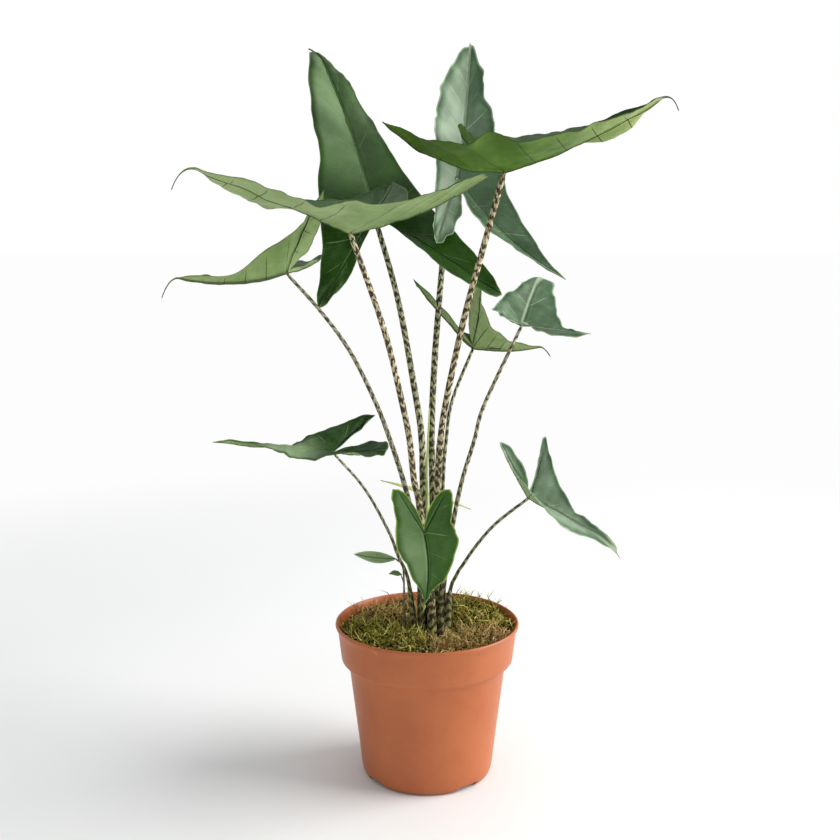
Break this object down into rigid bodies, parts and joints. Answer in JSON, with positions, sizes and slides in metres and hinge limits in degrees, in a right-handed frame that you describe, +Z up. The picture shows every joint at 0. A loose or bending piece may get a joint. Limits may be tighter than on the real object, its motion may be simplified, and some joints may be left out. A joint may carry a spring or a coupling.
{
  "type": "potted alocasia plant",
  "caption": "Potted alocasia with arrow-shaped leaves on tall zebra-marked stalks, moss on its soil and a tapered terracotta-coloured nursery pot.",
  "frame": {"origin": "centre of the pot's flat underside, on the surface that the pot stands on", "axes": "+Z up along the pot's axis, +X to the plant's right as seen from its front, front faces -Y"},
  "size_m": [0.435, 0.2578, 0.683],
  "materials": {
    "pot_plastic": "satin",
    "soil": "matte",
    "corm_bark": "matte",
    "green_moss": "matte",
    "brown_moss": "matte",
    "green_leaf": "satin",
    "grey_leaf": "satin",
    "zebra_stalk": "satin",
    "grey_stalk": "satin",
    "pale_shoot": "satin"
  },
  "bodies": {
    "root": {"blade_low_front": "green_leaf", "blade_low_left": "green_leaf", "blade_low_right": "green_leaf", "blade_middle_left": "green_leaf", "blade_middle_right": "grey_leaf", "blade_middle_right_back": "green_leaf", "blade_top_centre": "grey_leaf", "blade_top_left": "green_leaf", "blade_top_right": "green_leaf", "blade_upper_left": "green_leaf", "moss_back_left": "brown_moss", "moss_back_right": "green_moss", "moss_left_front": "green_moss", "moss_right_front": "brown_moss", "new_leaf_roll": "pale_shoot", "offset_blade_large": "grey_leaf", "offset_blade_small": "green_leaf", "offset_corm": "corm_bark", "offset_petiole_large": "grey_stalk", "offset_petiole_small": "grey_stalk", "petiole_low_front": "zebra_stalk", "petiole_low_left": "grey_stalk", "petiole_low_right": "grey_stalk", "petiole_middle_left": "zebra_stalk", "petiole_middle_right": "zebra_stalk", "petiole_middle_right_back": "zebra_stalk", "petiole_top_centre": "zebra_stalk", "petiole_top_left": "zebra_stalk", "petiole_top_right": "zebra_stalk", "petiole_upper_left": "zebra_stalk", "pot": "pot_plastic", "rhizome": "corm_bark", "soil": "soil", "young_leaf_blade": "pale_shoot", "young_leaf_petiole": "pale_shoot"}
  },
  "joints": []
}
